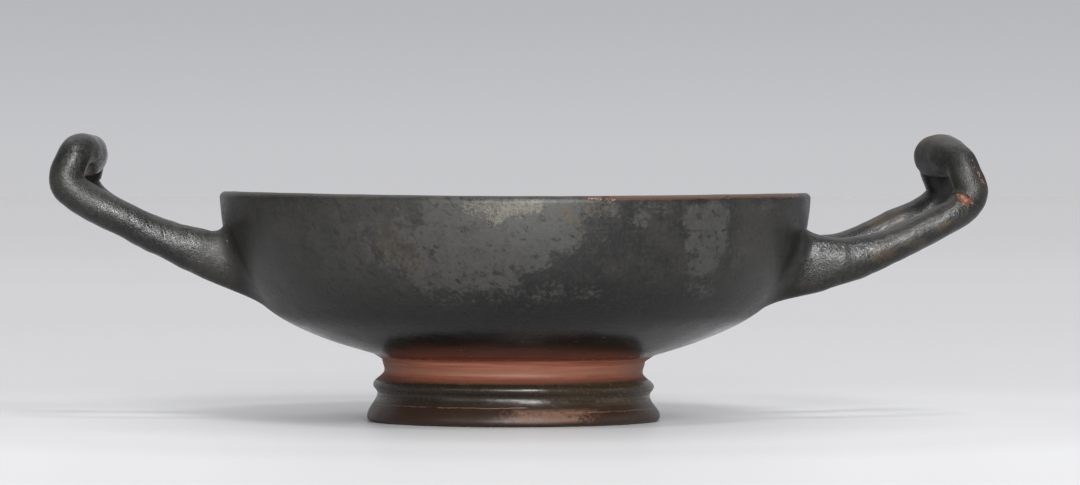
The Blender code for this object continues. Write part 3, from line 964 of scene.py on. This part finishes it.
class Clay(Nodes):
    """The cup's fired surface, with each grain, stored tint and place under its own name."""

    def __init__(self, tree):
        super().__init__(tree)
        self.mm = self.stretch(self.add("ShaderNodeTexCoord").outputs["Object"], (1.0 / MM,) * 3)
        position = self.add("ShaderNodeSeparateXYZ", {0: self.mm})
        self.across = position.outputs["X"]
        self.height = position.outputs["Z"]
        for name in TINTS + ("coil",):
            setattr(self, name, self.add("ShaderNodeAttribute", attribute_name=name).outputs["Fac"])
        for name, (cells, detail) in GRAINS.items():
            setattr(self, name, self.grain(self.mm, cells, detail))
        self.edge = self.weigh(height=1.0, cloud=0.5, speckle=0.25)
        self.streak = self.weigh(turned=0.45, groove=0.55)
        self.outside = away_from_axis(self)
        self.stem = self.times(self.between(self.edge, *STEM_BAND), self.outside)
        self.low = self.between(self.height, *LOW_BAND)
        self.nose = self.between(self.height, *NOSE_BAND)
        self.dashes = dark_dashes(self)
        self.thin = thin_gloss(self)
        self.rubbed = rubbed_foot(self)
        self.lines = scored_lines(self)
        wear = self.rise(self.weigh(worn=1.0, speckle=0.8, fine=0.5), 0.98, 1.2)
        self.wear = self.times(wear, self.rise(self.worn, 0.02, 0.2))
        self.chip = self.rise(self.weigh(bare=1.0, fine=0.3), 0.5, 0.8)

    def weigh(self, **weights):
        """Return the sum of the named values, each times its weight."""
        return self.total(*((getattr(self, name), weight) for name, weight in weights.items()))

    def rotated(self, angle):
        """Return the place in millimetres, turned about the y axis."""
        inputs = {"Vector": self.mm, "Angle": angle}
        return self.add("ShaderNodeVectorRotate", inputs, rotation_type="Y_AXIS").outputs[0]


def away_from_axis(n):
    """Return one on the wall and the foot, and zero on the middle of the bowl's floor."""
    level = n.stretch(n.mm, (1.0, 1.0, 0.0))
    radius = n.add("ShaderNodeVectorMath", {0: level}, operation="LENGTH").outputs["Value"]
    return n.rise(n.total((radius, 1.0), (n.height, -0.5)), 18.0, 20.0)


def dark_dashes(n):
    """Return the short slanting dashes that stay dark where the gloss is thin."""
    dashes = n.grain(n.rotated(DASH_TURN), DASH_CELLS, 3.0)
    return n.rise(n.total((dashes, 0.7), (n.broad, 0.15), (n.speckle, 0.15)), 0.56, 0.6)


def thin_gloss(n):
    """Return how thin the gloss is: mottled patches and fainter veils, without the dashes."""
    patches = n.rise(n.weigh(pale=1.0, cloud=0.4, speckle=0.75, fine=0.35), 1.06, 1.44)
    mottle = n.math("SUBTRACT", n.weigh(speckle=1.2, cloud=0.7, fine=0.8), 0.5)
    patches = n.times(patches, n.rise(n.pale, 0.0, 0.35), mottle)
    veils = n.times(n.veil, n.weigh(speckle=0.6, fine=0.3, broad=0.2))
    left = n.math("SUBTRACT", 1.0, n.times(n.dashes, 0.95))
    return n.times(n.most(patches, veils), left)


def rubbed_foot(n):
    """Return where the foot's lower roll is rubbed, most of all a little right of its middle."""
    patch = n.between(n.across, *RUBBED_PATCH)
    rubbed = n.total((n.speckle, 0.4), (n.fine, 0.4), (n.cloud, 0.2), (patch, 0.32))
    band = n.times(n.rise(n.edge, *RUBBED_TOP), n.rise(n.height, *RUBBED_BOTTOM))
    return n.times(n.rise(rubbed, 0.62, 0.88), band)


def scored_lines(n):
    """Return the two thin lines scored into the foot's lower roll, one left and one right."""
    lines = []
    for height, limit in SCORED_LINES:
        line = n.between(n.edge, (height - LINE_REACH, height), (height + LINE_REACH, height))
        lines.append(n.times(line, n.rise(n.across, *limit)))
    return n.times(n.most(*lines), n.rise(n.speckle, 0.35, 0.5))


def gloss_colour(n):
    """Return the gloss: near black, olive and brown in places, and paler where it is thin.

    The lower bowl and the pockets are darkened with painted shade.
    """
    olive = n.rise(n.weigh(broad=0.4, cloud=0.3, turned=0.15, speckle=0.15), 0.42, 0.6)
    colour = n.mix(olive, GLOSS_BLACK, GLOSS_OLIVE)
    off_coil = n.math("SUBTRACT", 1.0, n.coil)
    # Painted shade: the lower bowl, off the coils, is darker.
    colour = n.mix(n.times(n.low, off_coil), colour, GLOSS_LOW_SHADE)
    mottle = n.rise(n.weigh(fine=0.35, speckle=0.3, brushed=0.35), 0.46, 0.66)
    colour = n.mix(n.times(mottle, 0.3), colour, GLOSS_PALE)
    colour = n.mix(n.thin, colour, GLOSS_PALE)
    tan = n.rise(n.weigh(brown=0.7, speckle=0.5, cloud=0.4), 0.5, 1.15)
    colour = n.mix(n.times(tan, n.brown), colour, GLOSS_BROWN)
    sparks = n.rise(n.weigh(glint=0.55, fine=1.3, speckle=0.9), 1.3, 1.8)
    colour = n.mix(n.times(sparks, n.rise(n.glint, 0.0, 0.3)), colour, GLOSS_GLINT)
    lip = n.rise(n.weigh(lip=0.6, cloud=1.0), 0.65, 1.0)
    colour = n.mix(n.times(n.lip, lip), colour, LIP_BROWN)
    # Painted shade in the pockets and beside the crease.
    return n.mix(n.shade, colour, POCKET_SHADE)


def stem_colour(n, colour):
    """Return the colour with the stem's reserved clay, in streaks between two painted edges.

    Above it the bowl's underside gets painted shade and a painted reflection of the stem.
    """
    # Painted shade and a painted reflection of the red stem on the bowl's underside.
    shade = n.rise(n.weigh(edge=1.0, streak=3.0), *SHADE_TOP)
    shade = n.times(shade, n.outside, n.rise(n.height, *SHADE_BOTTOM))
    colour = n.mix(n.times(shade, 0.5), colour, STEM_REFLECTION_SHADE)
    red = n.mix(n.rise(n.streak, 0.38, 0.6), STEM_DARK, STEM_RED)
    light = n.between(n.edge, *STEM_LIGHT_BAND)
    red = n.mix(n.times(light, 0.6), red, STEM_PALE)
    low = n.rise(n.weigh(edge=1.0, speckle=1.0), *STEM_LOW_EDGE)
    red = n.mix(n.times(low, 0.7), red, STEM_LOW)
    return n.mix(n.stem, colour, red)


def foot_colour(n, colour):
    """Return the colour with the foot below the stem: gloss worn to brown and orange clay."""
    below = n.rise(n.height, *FOOT_TOP)
    colour = n.mix(n.times(below, 0.7), colour, FOOT_BROWN)
    olive = n.times(n.rise(n.across, *OLIVE_SIDE), below, n.rise(n.streak, 0.4, 0.6))
    colour = n.mix(olive, colour, FOOT_OLIVE)
    ring = n.rise(n.weigh(height=1.0, cloud=1.5), *RING_TOP)
    colour = n.mix(n.times(ring, 0.85), colour, RING_BROWN)
    colour = n.mix(n.times(n.rubbed, 0.65), colour, RING_WORN)
    flecks = n.rise(n.weigh(fine=0.6, speckle=0.4), 0.605, 0.64)
    flecks = n.times(flecks, n.nose, n.rise(n.across, *FLECK_SIDE))
    bright = n.most(n.lines, flecks)
    return n.mix(n.times(bright, 0.75), colour, RING_WORN)


def damage_colour(n, colour):
    """Return the colour with worn edges, the bare chip, and dirt in the cracks."""
    clay = n.mix(n.rise(n.fine, 0.4, 0.6), WORN_DARK, WORN_LIGHT)
    colour = n.mix(n.wear, colour, clay)
    clay = n.mix(n.rise(n.speckle, 0.45, 0.65), BARE_ORANGE, BARE_PALE)
    colour = n.mix(n.chip, colour, clay)
    return n.mix(n.rise(n.dirt, 0.25, 0.7), colour, DIRT)


def roughness(n):
    """Return the roughness: the coils, the nose and the underside shine, bare clay is dull."""
    grain = n.weigh(turned=0.08, speckle=0.16, cloud=0.12, dashes=0.05)
    neck = n.times(n.between(n.height, *NECK_BAND), n.outside)
    shine = n.most(n.times(n.coil, COIL_SHINE), n.times(n.nose, RING_SHINE))
    clay = n.most(n.most(n.wear, n.rubbed), n.times(n.stem, 0.7))
    rough = n.total(
        (n.math("ADD", grain, GLOSS_ROUGHNESS - GRAIN_ROUGHNESS), 1.0),
        (neck, -NECK_SHINE),
        (n.thin, 0.1),
        (n.low, 0.06),
        (shine, -1.0),
        (n.dull, 0.2),
        (n.shade, 0.5),
        (clay, 0.2),
    )
    dry = n.times(n.most(n.chip, n.dirt), 0.9)
    return n.most(rough, dry)


def relief(n):
    """Return the fine relief in millimetres: turning marks, and pits and strokes on the coils."""
    turning = n.weigh(
        turned=0.025, groove=0.01, speckle=0.03, fine=0.016, dashes=-0.02, lines=-0.05
    )
    strokes = n.times(n.grain(n.rotated(STROKE_TURN), STROKE_CELLS, 1.0), n.hatch)
    bumps = n.rise(n.fine, 0.35, 0.6)
    pits = n.total((n.speckle, 0.11), (bumps, 0.042), (n.cloud, 0.15), (strokes, 0.11))
    marks = n.add("ShaderNodeMix", {0: n.coil, 2: turning, 3: pits}, data_type="FLOAT")
    crumbs = n.times(n.fine, n.chip)
    return n.total((marks.outputs[0], 1.0), (n.wear, -0.03), (crumbs, 0.2))


def clay_material():
    """Return the cup's material: black gloss, the reserved red stem and the wear."""
    material = bpy.data.materials.new("black_gloss")
    material.use_nodes = True
    n = Clay(material.node_tree)
    shader = n.tree.nodes["Principled BSDF"]
    colour = damage_colour(n, foot_colour(n, stem_colour(n, gloss_colour(n))))
    bump = n.add("ShaderNodeBump", {"Height": relief(n), "Strength": 1.0, "Distance": MM})
    n.feed(shader.inputs["Base Color"], colour)
    n.feed(shader.inputs["Roughness"], roughness(n))
    n.feed(shader.inputs["Normal"], bump.outputs["Normal"])
    shader.inputs["Specular IOR Level"].default_value = GLOSS_SPECULAR
    return material


def paper_material():
    """Return the floor's pale paper, whose tone changes with the distance from the cup."""
    material = bpy.data.materials.new("floor_paper")
    material.use_nodes = True
    n = Nodes(material.node_tree)
    shader = n.tree.nodes["Principled BSDF"]
    where = n.add("ShaderNodeTexCoord").outputs["Object"]
    distance = n.add("ShaderNodeVectorMath", {0: where}, operation="LENGTH").outputs["Value"]
    far = n.math("DIVIDE", distance, n.math("ADD", distance, PAPER_SCALE))
    ramp = n.add("ShaderNodeValToRGB", {"Fac": far})
    stops = ramp.color_ramp.elements
    while len(stops) < len(PAPER_TONES):
        stops.new(0.5)
    for stop, (metres, tone) in zip(stops, PAPER_TONES):
        stop.position = metres / (metres + PAPER_SCALE)
        stop.color = (tone * PAPER_TINT[0], tone * PAPER_TINT[1], tone * PAPER_TINT[2], 1.0)
    ahead = n.times(n.add("ShaderNodeSeparateXYZ", {0: where}).outputs["Y"], -1.0)
    tone = n.mix(n.rise(ahead, *PAPER_FRONT), ramp.outputs["Color"], PAPER_DARK)
    n.feed(shader.inputs["Base Color"], tone)
    shader.inputs["Roughness"].default_value = PAPER_ROUGHNESS
    return material


def build_stage():
    """Build the floor and the surroundings."""
    mesh = bpy.data.meshes.new("floor")
    shape = bmesh.new()
    bmesh.ops.create_circle(shape, cap_ends=True, radius=FLOOR_RADIUS, segments=96)
    shape.to_mesh(mesh)
    shape.free()
    floor = bpy.data.objects.new("floor", mesh)
    bpy.context.scene.collection.objects.link(floor)
    mesh.materials.append(paper_material())
    world = bpy.data.worlds.new("studio")
    bpy.context.scene.world = world
    world.use_nodes = True
    n = Nodes(world.node_tree)
    ray = n.add("ShaderNodeSeparateXYZ", {0: n.add("ShaderNodeTexCoord").outputs["Generated"]})
    up = ray.outputs["Z"]
    wall = n.mix(n.rise(up, *WALL_EDGE), WORLD_HORIZON, WORLD_WALL)
    wall = n.mix(n.rise(up, *BEHIND_EDGE), wall, WORLD_BEHIND)
    front = n.mix(n.rise(up, *SIDE_EDGE), WORLD_FRONT, WORLD_SIDE)
    around = n.mix(n.rise(ray.outputs["Y"], *FRONT_TO_BACK), front, wall)
    sky = n.mix(n.rise(up, *OVERHEAD_EDGE), around, WORLD_OVERHEAD)
    n.feed(n.tree.nodes["Background"].inputs["Color"], sky)


def softbox(name, size, radiance, azimuth, elevation, distance):
    """Add a rectangular area light that faces the cup's middle."""
    light = bpy.data.lights.new(name, "AREA")
    light.shape = "RECTANGLE"
    light.size, light.size_y = size
    light.energy = math.pi * size[0] * size[1] * radiance
    lamp = bpy.data.objects.new(name, light)
    a = math.radians(azimuth)
    e = math.radians(elevation)
    back = Vector((math.sin(a) * math.cos(e), -math.cos(a) * math.cos(e), math.sin(e)))
    lamp.location = Vector(MIDDLE) + back * distance
    lamp.rotation_mode = "QUATERNION"
    lamp.rotation_quaternion = (-back).to_track_quat("-Z", "Y")
    bpy.context.scene.collection.objects.link(lamp)


def build_camera():
    """Build the camera at the photograph's viewing angle."""
    data = bpy.data.cameras.new("camera")
    data.lens = CAMERA_LENS
    data.clip_start = 0.05
    data.clip_end = 200.0
    camera = bpy.data.objects.new("camera", data)
    camera.location = (0.0, -CAMERA_DISTANCE, CAMERA_HEIGHT)
    camera.rotation_euler = (math.pi / 2.0 - CAMERA_PITCH, 0.0, -CAMERA_YAW)
    bpy.context.scene.collection.objects.link(camera)
    bpy.context.scene.camera = camera


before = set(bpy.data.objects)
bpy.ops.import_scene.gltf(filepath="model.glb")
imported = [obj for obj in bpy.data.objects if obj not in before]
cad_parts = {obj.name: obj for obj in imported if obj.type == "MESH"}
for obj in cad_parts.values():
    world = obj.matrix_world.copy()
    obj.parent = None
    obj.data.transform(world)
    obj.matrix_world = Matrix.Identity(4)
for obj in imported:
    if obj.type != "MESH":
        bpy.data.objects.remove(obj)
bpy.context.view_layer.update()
build_camera()
build_stage()
for row in LIGHTS:
    softbox(*row)
kylix = build_cup()
bpy.context.scene.collection.objects.link(kylix)
kylix.data.materials.append(clay_material())
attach(kylix, "root")
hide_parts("kylix")
bpy.context.scene.view_settings.view_transform = "Standard"
